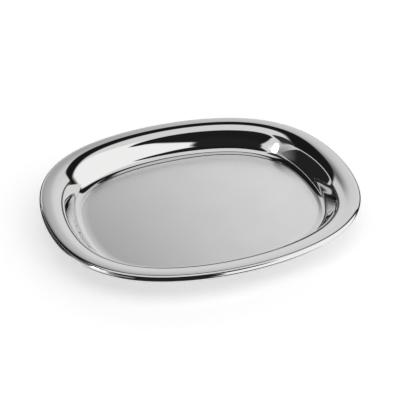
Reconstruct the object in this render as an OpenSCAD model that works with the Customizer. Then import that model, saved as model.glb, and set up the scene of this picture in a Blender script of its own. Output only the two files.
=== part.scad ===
// Rounded oval serving tray with a broad rim: one drawn steel sheet whose edge is rolled around a stiffening wire.
// Millimetres, +Z up. The origin is the middle of the underside, on the surface that the tray stands on.
// +X runs along the tray's length.

/* [Tray] */
// Length over the rolled edge
tray_length = 400; // [360:10:440]
// Width over the rolled edge
tray_width = 340; // [320:5:360]
// Height from the underside of the floor to the top of the rolled edge
tray_height = 32; // [28:0.5:36]
// Thickness of the drawn sheet
sheet = 0.8; // [0.6:0.1:1]

/* [Outline] */
// Radius of the outline in the middle of a long side, along the rolled edge
side_radius = 348; // [300:4:380]
// Radius of the outline in the middle of an end
end_radius = 240; // [220:4:280]
// Radius of the outline where its normal points halfway between side and end
corner_radius = 134; // [120:1:144]

/* [Rim] */
// Width of the nearly level lip on the long sides
side_lip = 7; // [4:0.5:12]
// Width of the nearly level lip at the ends
end_lip = 9; // [4:0.5:14]
// Fall of the lip where it leaves the rolled edge, in degrees
lip_start = 2; // [0.5:0.5:3]
// Fall of the lip at its inner edge, in degrees
lip_slope = 5.5; // [4:0.5:8]
// Width of the band where the lip begins to turn down
turn_band = 6.5; // [4:0.5:8]
// Slope at the inner edge of that band, in degrees
turn_slope = 14; // [10:1:18]
// Radius of the shoulder between the lip and the wall
shoulder_radius = 19; // [14:1:22]

/* [Wall] */
// Slope of the wall, in degrees
wall_slope = 62; // [56:1:68]
// Radius of the bend at the foot of the wall
foot_radius = 10.5; // [6:0.5:12]
// Slope at which that bend eases into the run-out, in degrees
runout_slope = 5; // [3:1:10]
// Length of the run-out, where the sheet eases into the level floor
runout_length = 10; // [6:0.5:12]

/* [Rolled edge] */
// Outside diameter of the rolled edge
bead_diameter = 8; // [7:0.5:9]
// How far the sheet is rolled round the wire, in degrees
roll_angle = 310; // [280:5:320]
// Radial room between the wire and the sheet rolled round it
wire_room = 0.2; // [0.2:0.05:0.4]
// Gap where the wire's two ends meet
wire_gap = 1; // [0.5:0.5:3]

/* [Hidden] */

// Finished colours of the polished sheet and of the plain wire
polished_steel = [0.80, 0.81, 0.82];
wire_steel = [0.55, 0.55, 0.56];

// Steps round the outline
outline_steps = 92;
// Steps along each stretch of the section
roll_steps = 13;
lip_steps = 1;
turn_steps = 2;
shoulder_steps = 6;
wall_steps = 1;
foot_steps = 6;
runout_steps = 1;
// Flats round the wire
wire_sides = 12;

bead_radius = bead_diameter / 2;
wire_radius = bead_radius - sheet - wire_room;
bead_height = tray_height - bead_radius;
half_length = tray_length / 2 - bead_radius;
half_width = tray_width / 2 - bead_radius;
// Height at which the lip leaves the rolled edge
lip_height = bead_height + bead_radius * cos(lip_start);

// The outline runs along the middle of the rolled edge. It is drawn by the direction of its normal, so that
// its radius changes smoothly all the way round. Its reach is how far its tangent lies from the tray's middle
// where the normal has direction d: a sum of shares, each times cos(order * d). The orders are even, so the
// four corners are alike, and the shares are those that give the length, the width and the three radii.
ORDERS = [0, 2, 4, 6, 8];
mean_half = (half_length + half_width) / 2;
mean_radius = (side_radius + end_radius) / 2;
share_4 = (corner_radius - mean_radius) / 30;
share_8 = (mean_half - mean_radius - 16 * share_4) / 64;
share_6 = (side_radius - end_radius - 3 * (half_length - half_width)) / 64;
share_2 = (half_length - half_width) / 2 - share_6;
share_0 = mean_half - share_4 - share_8;
SHARES = [share_0, share_2, share_4, share_6, share_8];

function total(list, i = 0) = i == len(list) ? 0 : list[i] + total(list, i + 1);
function reach(d) = total([for (i = [0 : 4]) SHARES[i] * cos(ORDERS[i] * d)]);
function reach_change(d) = total([for (i = [1 : 4]) -SHARES[i] * ORDERS[i] * sin(ORDERS[i] * d)]);
function outline_point(d) = reach(d) * [cos(d), sin(d)] + reach_change(d) * [-sin(d), cos(d)];

// Length along the outline from the +X end to where the normal has direction d
function run(d) =
    share_0 * d * PI / 180
    + total([for (i = [1 : 4]) SHARES[i] * (1 / ORDERS[i] - ORDERS[i]) * sin(ORDERS[i] * d)]);

// Direction of the normal at a length along the outline, by halving the span that holds it
function direction_at(length, low, high, halvings = 40) =
    let (middle = (low + high) / 2)
        halvings == 0
            ? middle
            : run(middle) < length
                ? direction_at(length, middle, high, halvings - 1)
                : direction_at(length, low, middle, halvings - 1);

// Stations at even spaces round the outline, from the middle of the +Y side: place, and normal's direction
STATIONS = [
    for (i = [0 : outline_steps - 1])
        let (d = i == 0 ? 90 : direction_at(run(90) + run(360) * i / outline_steps, 90, 450))
            [outline_point(d), d]
];

// The section is a chain of stretches, each with a length along the sheet and a slope at either end.
// A slope is the fall towards the middle of the tray, so the rolled edge runs from -roll_angle to lip_start.
function arc_length(radius, turn) = radius * abs(turn) * PI / 180;

// How far a stretch carries the sheet inwards and up, at slope s from slope s0, or after length t if it is straight
function carried(length, s0, s1, s, t) =
    s0 == s1
        ? t * length * [cos(s0), -sin(s0)]
        : let (radius = length / ((s1 - s0) * PI / 180)) radius * [sin(s) - sin(s0), cos(s) - cos(s0)];

function whole(stretch) = carried(stretch[0], stretch[1], stretch[2], stretch[2], 1);

function fall(stretches, i = 0) = i == len(stretches) ? 0 : -whole(stretches[i]).y + fall(stretches, i + 1);

// The chain from the rolled edge to the level floor. share is 1 at the ends and 0 on the long sides.
function stretches(share) =
    let (
        lip = side_lip + (end_lip - side_lip) * share,
        above = [
            [lip, lip_start, lip_slope, lip_steps],
            [turn_band, lip_slope, turn_slope, turn_steps],
            [arc_length(shoulder_radius, wall_slope - turn_slope), turn_slope, wall_slope, shoulder_steps]
        ],
        below = [
            [arc_length(foot_radius, wall_slope - runout_slope), wall_slope, runout_slope, foot_steps],
            [runout_length, runout_slope, 0, runout_steps]
        ],
        wall = (lip_height - sheet - fall(above) - fall(below)) / sin(wall_slope)
    )
    concat(above, [[wall, wall_slope, wall_slope, wall_steps]], below);

// Points of one stretch after its first, as inset from the outline, height and slope
function stretch_points(stretch, start) = [
    for (i = [1 : stretch[3]])
        let (
            t = i / stretch[3],
            s = stretch[1] + (stretch[2] - stretch[1]) * t,
            move = carried(stretch[0], stretch[1], stretch[2], s, t)
        )
            [start.x + move.x, start.y + move.y, s]
];

function chain_points(chain, start, i = 0) =
    i == len(chain)
        ? []
        : let (points = stretch_points(chain[i], start))
            concat(points, chain_points(chain, points[len(points) - 1], i + 1));

// A point on the rolled edge's outer face where the slope is s
function roll_point(s) = [bead_radius * sin(s), bead_height + bead_radius * cos(s), s];

// The upper face of the sheet, from the free end of the roll to the edge of the level floor
function upper_face(share) = concat(
    [for (i = [0 : roll_steps]) roll_point(-roll_angle + (roll_angle + lip_start) * i / roll_steps)],
    chain_points(stretches(share), roll_point(lip_start))
);

// The lower face, one sheet thickness along the normal, from the floor back to the free end of the roll
function lower_face(upper) = [
    for (i = [len(upper) - 1 : -1 : 0])
        upper[i] - sheet * [sin(upper[i][2]), cos(upper[i][2]), 0]
];

function section(share) = let (upper = upper_face(share)) concat(upper, lower_face(upper));

function placed(station, point) =
    let (direction = station[1])
        [
            station[0].x - point.x * cos(direction),
            station[0].y - point.x * sin(direction),
            point.y
        ];

module tray_shell() {
    upper_count = len(upper_face(0));
    count = 2 * upper_count;
    turns = len(STATIONS);
    points = [
        for (station = STATIONS)
            let (face = section(cos(station[1]) ^ 2))
                for (point = face) placed(station, point)
    ];
    // Quads round the tray between one point of the section and the next, all but the floor's own
    walls = [
        for (i = [0 : turns - 1])
            for (j = [0 : count - 1])
                if (j != upper_count - 1)
                    let (here = i * count, next = (i + 1) % turns * count, k = (j + 1) % count)
                        [here + j, here + k, next + k, next + j]
    ];
    floor_top = [for (i = [turns - 1 : -1 : 0]) i * count + upper_count - 1];
    floor_underside = [for (i = [0 : turns - 1]) i * count + upper_count];
    color(polished_steel)
        polyhedron(points = points, faces = concat(walls, [floor_top, floor_underside]), convexity = 6);
}

module rim_wire() {
    // The wire runs from the first station round to just short of it, where its ends leave their gap.
    last = [STATIONS[0][0] + [wire_gap, 0], STATIONS[0][1]];
    route = concat(STATIONS, [last]);
    ring = [
        for (i = [0 : wire_sides - 1])
            let (turn = 360 * i / wire_sides)
                [wire_radius * cos(turn), bead_height + wire_radius * sin(turn)]
    ];
    points = [for (station = route) for (point = ring) placed(station, point)];
    sides = [
        for (i = [0 : len(route) - 2])
            for (j = [0 : wire_sides - 1])
                let (here = i * wire_sides, next = here + wire_sides, k = (j + 1) % wire_sides)
                    [here + j, next + j, next + k, here + k]
    ];
    first_end = [for (j = [0 : wire_sides - 1]) j];
    last_end = [for (j = [wire_sides - 1 : -1 : 0]) len(STATIONS) * wire_sides + j];
    color(wire_steel)
        polyhedron(points = points, faces = concat(sides, [first_end, last_end]), convexity = 6);
}

tray_shell();
rim_wire();
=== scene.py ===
"""A polished serving tray in a plain studio: its drawn sheet and edge wire, made on the CAD frame."""

import math

import bpy
import numpy as np
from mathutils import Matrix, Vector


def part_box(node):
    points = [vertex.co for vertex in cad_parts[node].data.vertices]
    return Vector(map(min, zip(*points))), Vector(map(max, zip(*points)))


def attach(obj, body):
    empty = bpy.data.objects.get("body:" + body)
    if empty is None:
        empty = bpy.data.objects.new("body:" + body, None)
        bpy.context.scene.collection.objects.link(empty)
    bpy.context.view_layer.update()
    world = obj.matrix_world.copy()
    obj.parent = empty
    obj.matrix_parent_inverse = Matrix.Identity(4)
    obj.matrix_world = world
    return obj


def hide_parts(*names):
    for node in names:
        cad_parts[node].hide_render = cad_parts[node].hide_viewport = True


MM = 0.001
DEG = math.pi / 180

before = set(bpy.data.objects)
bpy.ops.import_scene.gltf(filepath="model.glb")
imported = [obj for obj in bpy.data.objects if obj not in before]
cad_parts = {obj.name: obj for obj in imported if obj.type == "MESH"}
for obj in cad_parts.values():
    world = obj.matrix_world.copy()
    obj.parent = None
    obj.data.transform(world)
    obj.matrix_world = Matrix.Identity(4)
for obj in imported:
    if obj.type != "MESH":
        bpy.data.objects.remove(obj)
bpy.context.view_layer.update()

# --- Dimensions, in metres and degrees: overall ones from the frame, the rest the design's own ---
shell_low, shell_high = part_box("tray_shell")
wire_low, wire_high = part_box("rim_wire")
LENGTH = round(shell_high[0] - shell_low[0], 3)
WIDTH = round(shell_high[1] - shell_low[1], 3)
HEIGHT = round(shell_high[2] - shell_low[2], 3)
SHEET = 0.8 * MM
BEAD_RADIUS = 4 * MM
WIRE_RADIUS = round(wire_high[2] - wire_low[2], 4) / 2
BEAD_HEIGHT = HEIGHT - BEAD_RADIUS
ROLL_ANGLE = 310
SIDE_RADIUS = 348 * MM
END_RADIUS = 240 * MM
CORNER_RADIUS = 134 * MM
SIDE_LIP = 7 * MM
END_LIP = 9 * MM
LIP_START = 2
LIP_SLOPE = 5.5
TURN_BAND = 6.5 * MM
TURN_SLOPE = 14
SHOULDER_RADIUS = 19 * MM
# The wall's slope swells either way, is steepest at a share of its length, and eases at the ends
WALL_SLOPE = 62
WALL_SWELL = 2
WALL_STEEPEST = 0.8
END_WALL_EASE = 5
FOOT_RADIUS = 10.5 * MM
RUNOUT_SLOPE = 5
RUNOUT_LENGTH = 10 * MM
WIRE_GAP = 1 * MM

# The satin middle of the floor: half-length and half-width, the power of its rounded outline, and how far
# its edge fades either way, in the sum of those powers
SATIN_HALF = (151 * MM, 117.5 * MM)
SATIN_POWER = 2.45
SATIN_SOFTNESS = 0.012

# A shallow coined step down to the satin middle
STEP_DEPTH = 0.22 * MM
STEP_WIDTH = 1.8 * MM

# Steps along each stretch of the section. Their total is even, so every second point reaches both ends.
ROLL_STEPS = 32
LIP_STEPS = 4
TURN_STEPS = 8
SHOULDER_STEPS = 16
WALL_STEPS = (10, 8)
FOOT_STEPS = 16
RUNOUT_STEPS = 32
# Rings across the level floor, and flats round the wire
DISC_RINGS = 4
WIRE_SIDES = 24

# Stations round the tray
STATIONS = 480

# --- Finishes. A pair is the value at the low and at the high end of a noise. ---
POLISH_COLOUR = (0.72, 0.718, 0.715, 1)
POLISH_ROUGHNESS = (0.012, 0.05)
SATIN_COLOUR = (0.85, 0.85, 0.85, 1)
SATIN_ROUGHNESS = (0.20, 0.23)
BRUSH_ROUGHNESS = (-0.015, 0.015)
SATIN_BUMP = 0.006 * MM
# Brush marks of the satin run along the tray: waves to the metre along X, Y and Z
BRUSH_SCALE = (25, 1100, 1)
# Waves to the metre of the satin's grain, of its cloudiness, and of the handling marks on the polish
GRAIN_SCALE = 2600
CLOUD_SCALE = 22
HANDLING_SCALE = 9
WIRE_COLOURS = ((0.42, 0.42, 0.43, 1), (0.60, 0.60, 0.61, 1))
WIRE_ROUGHNESS = (0.28, 0.45)
WIRE_TONE_SCALE = 180
WIRE_GRAIN_SCALE = 1500

# --- Studio floor ---
FLOOR_HALF = 4.0
FLOOR_COLOUR = (0.93, 0.93, 0.93, 1)
FLOOR_ROUGHNESS = 0.7
FLOOR_GLOW = 0.53
# The floor lies a hair below the tray, so that their faces never coincide
FLOOR_CLEAR = 0.02 * MM


# --- Shape: the CAD source's outline and section, with finer steps, a swelling wall and a coined floor ---
def outline_shares():
    """Shares of cos(0), cos(2d) ... cos(8d) in the outline's reach, from its length, width and radii."""
    half_length = LENGTH / 2 - BEAD_RADIUS
    half_width = WIDTH / 2 - BEAD_RADIUS
    mean_half = (half_length + half_width) / 2
    mean_radius = (SIDE_RADIUS + END_RADIUS) / 2
    share_4 = (CORNER_RADIUS - mean_radius) / 30
    share_8 = (mean_half - mean_radius - 16 * share_4) / 64
    share_6 = (SIDE_RADIUS - END_RADIUS - 3 * (half_length - half_width)) / 64
    share_2 = (half_length - half_width) / 2 - share_6
    return (mean_half - share_4 - share_8, share_2, share_4, share_6, share_8)


def outline(directions):
    """Points on the middle of the rolled edge, and the normals there, for an array of normal directions."""
    reach = np.zeros_like(directions)
    change = np.zeros_like(directions)
    for order, share in zip((0, 2, 4, 6, 8), outline_shares()):
        reach += share * np.cos(order * directions)
        change -= share * order * np.sin(order * directions)
    normals = np.stack([np.cos(directions), np.sin(directions)], axis=1)
    tangents = np.stack([-normals[:, 1], normals[:, 0]], axis=1)
    return reach[:, None] * normals + change[:, None] * tangents, normals


def even_directions(count):
    """Normal directions of stations at even spaces round the outline, from the middle of the +Y side."""
    fine = np.linspace(90 * DEG, 450 * DEG, 20 * count + 1)
    points, _ = outline(fine)
    run = np.concatenate([[0], np.cumsum(np.linalg.norm(np.diff(points, axis=0), axis=1))])
    return np.interp(np.linspace(0, run[-1], count, endpoint=False), run, fine)


def roll_point(slope):
    """Inset, height and slope of a point on the rolled edge's outer face."""
    return (
        BEAD_RADIUS * math.sin(slope * DEG),
        BEAD_HEIGHT + BEAD_RADIUS * math.cos(slope * DEG),
        slope,
    )


def stretch(start, length, slope_0, slope_1, steps):
    """Points of one curved stretch of the section after its first: inset, height and slope in degrees."""
    radius = length / ((slope_1 - slope_0) * DEG)
    points = []
    for i in range(1, steps + 1):
        slope = slope_0 + (slope_1 - slope_0) * i / steps
        inwards = radius * (math.sin(slope * DEG) - math.sin(slope_0 * DEG))
        upwards = radius * (math.cos(slope * DEG) - math.cos(slope_0 * DEG))
        points.append((start[0] + inwards, start[1] + upwards, slope))
    return points


def chain(start, stretches):
    """Points of a chain of stretches, each a length, two slopes and a number of steps."""
    points = [start]
    for length, slope_0, slope_1, steps in stretches:
        points += stretch(points[-1], length, slope_0, slope_1, steps)
    return points


def section(share):
    """The upper face of the sheet, from the roll's free end to the level floor. share is 1 at the ends."""
    lip = SIDE_LIP + (END_LIP - SIDE_LIP) * share
    flat_end = WALL_SLOPE - WALL_SWELL - END_WALL_EASE * share
    steep = WALL_SLOPE + WALL_SWELL - END_WALL_EASE * share
    shoulder = SHOULDER_RADIUS * (flat_end - TURN_SLOPE) * DEG
    foot = FOOT_RADIUS * (flat_end - RUNOUT_SLOPE) * DEG
    above = [
        (lip, LIP_START, LIP_SLOPE, LIP_STEPS),
        (TURN_BAND, LIP_SLOPE, TURN_SLOPE, TURN_STEPS),
        (shoulder, TURN_SLOPE, flat_end, SHOULDER_STEPS),
    ]
    below = [
        (foot, flat_end, RUNOUT_SLOPE, FOOT_STEPS),
        (RUNOUT_LENGTH, RUNOUT_SLOPE, 0, RUNOUT_STEPS),
    ]
    top = chain(roll_point(LIP_START), above)
    drop = chain((0, 0, flat_end), below)[-1][1]
    bend = (math.cos(flat_end * DEG) - math.cos(steep * DEG)) / ((steep - flat_end) * DEG)
    length = (top[-1][1] - SHEET + drop) / bend
    wall = [
        (length * WALL_STEEPEST, flat_end, steep, WALL_STEPS[0]),
        (length * (1 - WALL_STEEPEST), steep, flat_end, WALL_STEPS[1]),
    ]
    upper = chain(top[-1], wall + below)
    turn = (ROLL_ANGLE + LIP_START) / ROLL_STEPS
    roll = [roll_point(-ROLL_ANGLE + turn * i) for i in range(ROLL_STEPS)]
    return np.array(roll + top[:-1] + upper)


def loop_section(share):
    """The sheet's whole section: its upper face, then its lower face in double steps back to the roll."""
    upper = section(share)
    under = upper[::-2]
    slopes = under[:, 2] * DEG
    lower = under[:, :2] - SHEET * np.stack([np.sin(slopes), np.cos(slopes)], axis=1)
    return np.concatenate([upper[:, :2], lower]), len(upper)


def new_object(name, vertices, faces, materials):
    mesh = bpy.data.meshes.new(name)
    mesh.from_pydata([tuple(v) for v in vertices], [], faces)
    mesh.validate()
    for material in materials:
        mesh.materials.append(material)
    piece = bpy.data.objects.new(name, mesh)
    bpy.context.scene.collection.objects.link(piece)
    return piece


def placed(points, normals, inset, height):
    """Inset and height, one of each per station, as points in space."""
    flat = points - normals * np.asarray(inset)[:, None]
    return np.concatenate([flat, np.asarray(height)[:, None]], axis=1)


def disc_rings(edge):
    """Rings that shrink from the floor's edge towards its middle, ending in a small one."""
    shares = np.linspace(1, 0.04, DISC_RINGS + 1)[1:]
    return [np.concatenate([edge[:, :2] * share, edge[:, 2:]], axis=1) for share in shares]


def satin_edge(places):
    """How far each place lies outside the satin outline, along the line from the middle of the floor."""
    reach = np.linalg.norm(places[:, :2], axis=1)
    powers = sum(np.abs(places[:, i] / reach / SATIN_HALF[i]) ** SATIN_POWER for i in (0, 1))
    return reach - powers ** (-1 / SATIN_POWER)


def coined(ring):
    """A ring of the upper face, lowered where it is past the step round the satin middle."""
    t = np.clip(1 - satin_edge(ring) / STEP_WIDTH, 0, 1)
    lowered = ring.copy()
    lowered[:, 2] -= STEP_DEPTH * t * t * (3 - 2 * t)
    return lowered


def build_shell(materials):
    """The sheet as one closed mesh of rings, each with a point for every station."""
    directions = even_directions(STATIONS)
    points, normals = outline(directions)
    side, upper_count = loop_section(0)
    end, _ = loop_section(1)
    share = np.cos(directions) ** 2
    rings = [
        placed(points, normals, s[0] + (e[0] - s[0]) * share, s[1] + (e[1] - s[1]) * share)
        for s, e in zip(side, end)
    ]
    for i in range(upper_count - RUNOUT_STEPS, upper_count):
        rings[i] = coined(rings[i])
    top_rings = disc_rings(rings[upper_count - 1])
    bottom_rings = disc_rings(rings[upper_count])
    # One run of rings: out from the middle of the underside, round the roll, and in across the floor
    run = bottom_rings[::-1] + rings[upper_count:] + rings[:upper_count] + top_rings
    faces = []
    for i in range(len(run) - 1):
        for j in range(STATIONS):
            here = i * STATIONS
            k = (j + 1) % STATIONS
            faces.append((here + j, here + k, here + STATIONS + k, here + STATIONS + j))
    last = (len(run) - 1) * STATIONS
    faces.append(tuple(reversed(range(STATIONS))))
    faces.append(tuple(range(last, last + STATIONS)))
    shell = new_object("drawn_sheet", np.concatenate(run), faces, materials)
    shell.data.polygons.foreach_set("use_smooth", [True] * len(shell.data.polygons))
    return shell


def build_wire(materials):
    """The wire as one closed tube, open by a small gap in the middle of the +Y side."""
    directions = even_directions(STATIONS)
    points, normals = outline(directions)
    points = np.concatenate([points, [[WIRE_GAP, points[0][1]]]])
    normals = np.concatenate([normals, normals[:1]])
    level = np.ones(len(points))
    rings = []
    for i in range(WIRE_SIDES):
        turn = 2 * math.pi * i / WIRE_SIDES
        inset = WIRE_RADIUS * math.cos(turn) * level
        height = (BEAD_HEIGHT + WIRE_RADIUS * math.sin(turn)) * level
        rings.append(placed(points, normals, inset, height))
    vertices = np.stack(rings, axis=1).reshape(-1, 3)
    faces = []
    for i in range(len(points) - 1):
        for j in range(WIRE_SIDES):
            here = i * WIRE_SIDES
            k = (j + 1) % WIRE_SIDES
            faces.append((here + j, here + k, here + WIRE_SIDES + k, here + WIRE_SIDES + j))
    last = (len(points) - 1) * WIRE_SIDES
    faces.append(tuple(reversed(range(WIRE_SIDES))))
    faces.append(tuple(range(last, last + WIRE_SIDES)))
    wire = new_object("edge_wire", vertices, faces, materials)
    wire.data.polygons.foreach_set("use_smooth", [len(p.vertices) == 4 for p in wire.data.polygons])
    return wire


# --- Node helpers ---
class Nodes:
    """Short ways to add and link shader nodes."""

    def __init__(self, tree):
        self.tree = tree
        tree.nodes.clear()

    def add(self, kind, **settings):
        node = self.tree.nodes.new(kind)
        for name, value in settings.items():
            setattr(node, name, value)
        return node

    def feed(self, socket, value):
        if isinstance(value, bpy.types.NodeSocket):
            self.tree.links.new(value, socket)
        elif value is not None:
            socket.default_value = value

    def math(self, operation, a, b=None, c=None):
        node = self.add("ShaderNodeMath", operation=operation)
        for socket, value in zip(node.inputs, (a, b, c)):
            self.feed(socket, value)
        return node.outputs[0]

    def ramp(self, value, low, high, out_low=0.0, out_high=1.0):
        node = self.add("ShaderNodeMapRange", interpolation_type="SMOOTHSTEP")
        for socket, item in zip(node.inputs, (value, low, high, out_low, out_high)):
            self.feed(socket, item)
        return node.outputs[0]

    def blend(self, factor, a, b):
        node = self.add("ShaderNodeMix", data_type="FLOAT")
        for socket, value in zip(node.inputs[:1] + node.inputs[2:4], (factor, a, b)):
            self.feed(socket, value)
        return node.outputs[0]

    def blend_colours(self, factor, a, b):
        node = self.add("ShaderNodeMix", data_type="RGBA")
        for socket, value in zip(node.inputs[:1] + node.inputs[6:8], (factor, a, b)):
            self.feed(socket, value)
        return node.outputs[2]

    def superellipse(self, across, along, power):
        """A sum of powers that is 1 on the outline, from two distances in units of the half-sizes."""
        terms = [self.math("POWER", self.math("ABSOLUTE", part), power) for part in (across, along)]
        return self.math("ADD", *terms)

    def noise(self, vector, scale, detail=2.0, roughness=0.5):
        node = self.add("ShaderNodeTexNoise")
        self.feed(node.inputs["Vector"], vector)
        self.feed(node.inputs["Scale"], scale)
        self.feed(node.inputs["Detail"], detail)
        self.feed(node.inputs["Roughness"], roughness)
        return node.outputs["Fac"]


def new_material(name):
    material = bpy.data.materials.new(name)
    material.use_nodes = True
    return material, Nodes(material.node_tree)


def steel_material():
    """Mirror-polished sheet whose level middle is satin."""
    material, n = new_material("tray_steel")
    place = n.add("ShaderNodeTexCoord").outputs["Object"]
    axes = n.add("ShaderNodeSeparateXYZ")
    n.feed(axes.inputs[0], place)
    along, across = (n.math("DIVIDE", axes.outputs[i], SATIN_HALF[i]) for i in (0, 1))
    reach = n.superellipse(along, across, SATIN_POWER)
    satin = n.ramp(reach, 1 + SATIN_SOFTNESS, 1 - SATIN_SOFTNESS)

    stretched = n.add("ShaderNodeVectorMath", operation="MULTIPLY")
    n.feed(stretched.inputs[0], place)
    n.feed(stretched.inputs[1], BRUSH_SCALE)
    brush = n.noise(stretched.outputs[0], 1.0, 3.0, 0.6)
    grain = n.noise(place, GRAIN_SCALE, 2.0, 0.6)
    cloud = n.noise(place, CLOUD_SCALE, 3.0, 0.55)
    handling = n.noise(place, HANDLING_SCALE, 4.0, 0.6)
    cloudy = n.ramp(cloud, 0.3, 0.7, *SATIN_ROUGHNESS)
    brushed = n.ramp(brush, 0.25, 0.75, *BRUSH_ROUGHNESS)
    satin_roughness = n.math("ADD", cloudy, brushed)
    polish_roughness = n.ramp(handling, 0.45, 0.75, *POLISH_ROUGHNESS)

    bsdf = n.add("ShaderNodeBsdfPrincipled")
    n.feed(bsdf.inputs["Base Color"], n.blend_colours(satin, POLISH_COLOUR, SATIN_COLOUR))
    n.feed(bsdf.inputs["Metallic"], 1.0)
    n.feed(bsdf.inputs["Roughness"], n.blend(satin, polish_roughness, satin_roughness))

    bump = n.add("ShaderNodeBump")
    n.feed(bump.inputs["Strength"], 1.0)
    n.feed(bump.inputs["Distance"], SATIN_BUMP)
    n.feed(bump.inputs["Height"], n.math("MULTIPLY", n.math("ADD", grain, brush), satin))
    n.feed(bsdf.inputs["Normal"], bump.outputs[0])
    out = n.add("ShaderNodeOutputMaterial")
    n.feed(out.inputs[0], bsdf.outputs[0])
    return material


def wire_material():
    """Plain drawn wire, slightly mottled."""
    material, n = new_material("wire_steel")
    place = n.add("ShaderNodeTexCoord").outputs["Object"]
    tone = n.noise(place, WIRE_TONE_SCALE, 3.0)
    fine = n.noise(place, WIRE_GRAIN_SCALE, 2.0)
    bsdf = n.add("ShaderNodeBsdfPrincipled")
    n.feed(bsdf.inputs["Base Color"], n.blend_colours(tone, *WIRE_COLOURS))
    n.feed(bsdf.inputs["Metallic"], 1.0)
    n.feed(bsdf.inputs["Roughness"], n.ramp(fine, 0.3, 0.7, *WIRE_ROUGHNESS))
    out = n.add("ShaderNodeOutputMaterial")
    n.feed(out.inputs[0], bsdf.outputs[0])
    return material


def floor_material():
    material, n = new_material("studio_floor")
    bsdf = n.add("ShaderNodeBsdfPrincipled")
    n.feed(bsdf.inputs["Base Color"], FLOOR_COLOUR)
    n.feed(bsdf.inputs["Roughness"], FLOOR_ROUGHNESS)
    n.feed(bsdf.inputs["Emission Color"], (1, 1, 1, 1))
    n.feed(bsdf.inputs["Emission Strength"], FLOOR_GLOW)
    out = n.add("ShaderNodeOutputMaterial")
    n.feed(out.inputs[0], bsdf.outputs[0])
    return material


# --- Studio light: a pale ceiling, a backdrop, soft boxes and dark screens, as seen from the tray ---
# A bearing of 0 is -Y, 90 is +X and 180 is +Y. Angles are in degrees.
CAMERA_BEARING = -20.1
CAMERA_HEIGHT = 34.0
CAMERA_DISTANCE = 1.193
LENS = 85
SENSOR = 36
SHIFT_UP = -0.0254

CEILING = 0.88
# What the camera itself sees behind the floor
PALE_SKY = (0.93, 0.93, 0.93, 1)
# Cards: name, bearing, height, half-width, half-height, squareness, softness, brightness.
# A later card hides the ones before it.
CARDS = [
    ("soft_box", 50, -2, 48, 58, 6, 0.05, 1.18),
    ("camera_screen", -19, 42, 56, 19.5, 3, 0.06, 0.015),
    ("camera_screen_low", -29, -24, 37, 52, 6, 0.06, 0.02),
    ("floor_light_left", -54, -6, 12, 19, 3, 0.4, 0.35),
    ("arch", 175, 10, 77, 54.5, 3.5, 0.1, 0.012),
    ("left_screen", -98, 42, 17, 16, 3, 0.15, 0.04),
    ("left_outline", -117.5, 6, 35, 19, 3, 0.04, 0.8),
    ("left_oval", -117, 5, 33, 16.5, 3, 0.04, 0.02),
    ("left_cloud", -92, 8, 20, 16, 2, 0.95, 0.25),
    ("left_strip", -76, 4, 9, 20, 3, 0.3, 1.3),
    ("lamp", -82, 23, 4.5, 3.5, 2, 0.5, 14.0),
    ("rim_shadow", 0, -90, 500, 36, 4, 0.1, 0.04),
]
# The backdrop hides every card. It falls from bright to dim between two bearings from its middle, more so
# higher up, loses a little of its light towards its top, and is dark below its foot.
BACKDROP_BEARING = 156
BACKDROP_HALF = (50, 44)
BACKDROP_SQUARENESS = 2.4
BACKDROP_SOFTNESS = 0.05
BACKDROP_BRIGHT = 0.90
BACKDROP_DIM = 0.22
FALL_BEARINGS = (-6, 22)
FALL_HEIGHTS = (26, 38)
LEAST_FALL = 0.15
TOP_HEIGHTS = (24, 44)
TOP_SHARE = 0.9
FOOT_HEIGHTS = (5, 11)
FOOT_SHARE = 0.05


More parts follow.
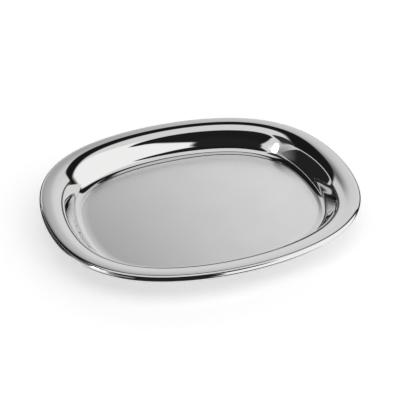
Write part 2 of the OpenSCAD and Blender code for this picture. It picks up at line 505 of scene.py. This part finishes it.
def studio_world():
    """Light the tray by bearing and height, while the camera itself sees only a plain pale sky."""
    world = bpy.data.worlds.new("studio")
    world.use_nodes = True
    bpy.context.scene.world = world
    n = Nodes(world.node_tree)
    axes = n.add("ShaderNodeSeparateXYZ")
    n.feed(axes.inputs[0], n.add("ShaderNodeTexCoord").outputs["Generated"])
    x, y, z = axes.outputs
    bearing = n.math("DEGREES", n.math("ARCTAN2", x, n.math("MULTIPLY", y, -1.0)))
    height = n.math("DEGREES", n.math("ARCSINE", z))

    def from_middle(middle):
        return n.math("WRAP", n.math("SUBTRACT", bearing, middle), 180.0, -180.0)

    def card(middle, up, half_width, half_height, power, softness):
        """1 inside the card's rounded outline and 0 outside. softness is a share of its half-sizes."""
        across = n.math("DIVIDE", from_middle(middle), half_width)
        along = n.math("DIVIDE", n.math("SUBTRACT", height, up), half_height)
        margin = softness * power / 2
        return n.ramp(n.superellipse(across, along, power), 1 + margin, 1 - margin)

    light = CEILING
    for _, *outline_of_card, brightness in CARDS:
        light = n.blend(card(*outline_of_card), light, brightness)
    side = n.ramp(from_middle(BACKDROP_BEARING), *FALL_BEARINGS)
    fall = n.math("MULTIPLY", side, n.ramp(height, *FALL_HEIGHTS, LEAST_FALL, 1))
    backdrop = n.blend(fall, BACKDROP_BRIGHT, BACKDROP_DIM)
    backdrop = n.math("MULTIPLY", backdrop, n.ramp(height, *TOP_HEIGHTS, 1, TOP_SHARE))
    backdrop = n.math("MULTIPLY", backdrop, n.ramp(height, *FOOT_HEIGHTS, FOOT_SHARE, 1))
    shape = card(BACKDROP_BEARING, 0, *BACKDROP_HALF, BACKDROP_SQUARENESS, BACKDROP_SOFTNESS)
    light = n.blend(shape, light, backdrop)

    background = n.add("ShaderNodeBackground")
    n.feed(background.inputs["Color"], light)
    pale = n.add("ShaderNodeBackground")
    n.feed(pale.inputs["Color"], PALE_SKY)
    seen = n.add("ShaderNodeMixShader")
    n.feed(seen.inputs[0], n.add("ShaderNodeLightPath").outputs["Is Camera Ray"])
    n.feed(seen.inputs[1], background.outputs[0])
    n.feed(seen.inputs[2], pale.outputs[0])
    out = n.add("ShaderNodeOutputWorld")
    n.feed(out.inputs[0], seen.outputs[0])


def studio_floor():
    """A plain pale floor. The tray doesn't reflect it: the world's lower half stands for it there."""
    signs = ((-1, -1), (1, -1), (1, 1), (-1, 1))
    corners = [(x * FLOOR_HALF, y * FLOOR_HALF, -FLOOR_CLEAR) for x, y in signs]
    floor = new_object("floor", corners, [(0, 1, 2, 3)], [floor_material()])
    floor.visible_glossy = False


def studio_camera():
    data = bpy.data.cameras.new("camera")
    camera = bpy.data.objects.new("camera", data)
    bpy.context.scene.collection.objects.link(camera)
    bearing = CAMERA_BEARING * DEG
    height = CAMERA_HEIGHT * DEG
    camera.location = (
        CAMERA_DISTANCE * math.sin(bearing) * math.cos(height),
        -CAMERA_DISTANCE * math.cos(bearing) * math.cos(height),
        BEAD_HEIGHT + CAMERA_DISTANCE * math.sin(height),
    )
    camera.rotation_euler = (90 * DEG - height, 0, bearing)
    data.lens = LENS
    data.sensor_width = SENSOR
    data.shift_y = SHIFT_UP
    data.clip_end = 50
    bpy.context.scene.camera = camera


studio_camera()
shell = build_shell([steel_material()])
wire = build_wire([wire_material()])
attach(shell, "root")
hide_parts("tray_shell")
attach(wire, "root")
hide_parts("rim_wire")
studio_world()
studio_floor()
bpy.context.scene.view_settings.view_transform = "Standard"
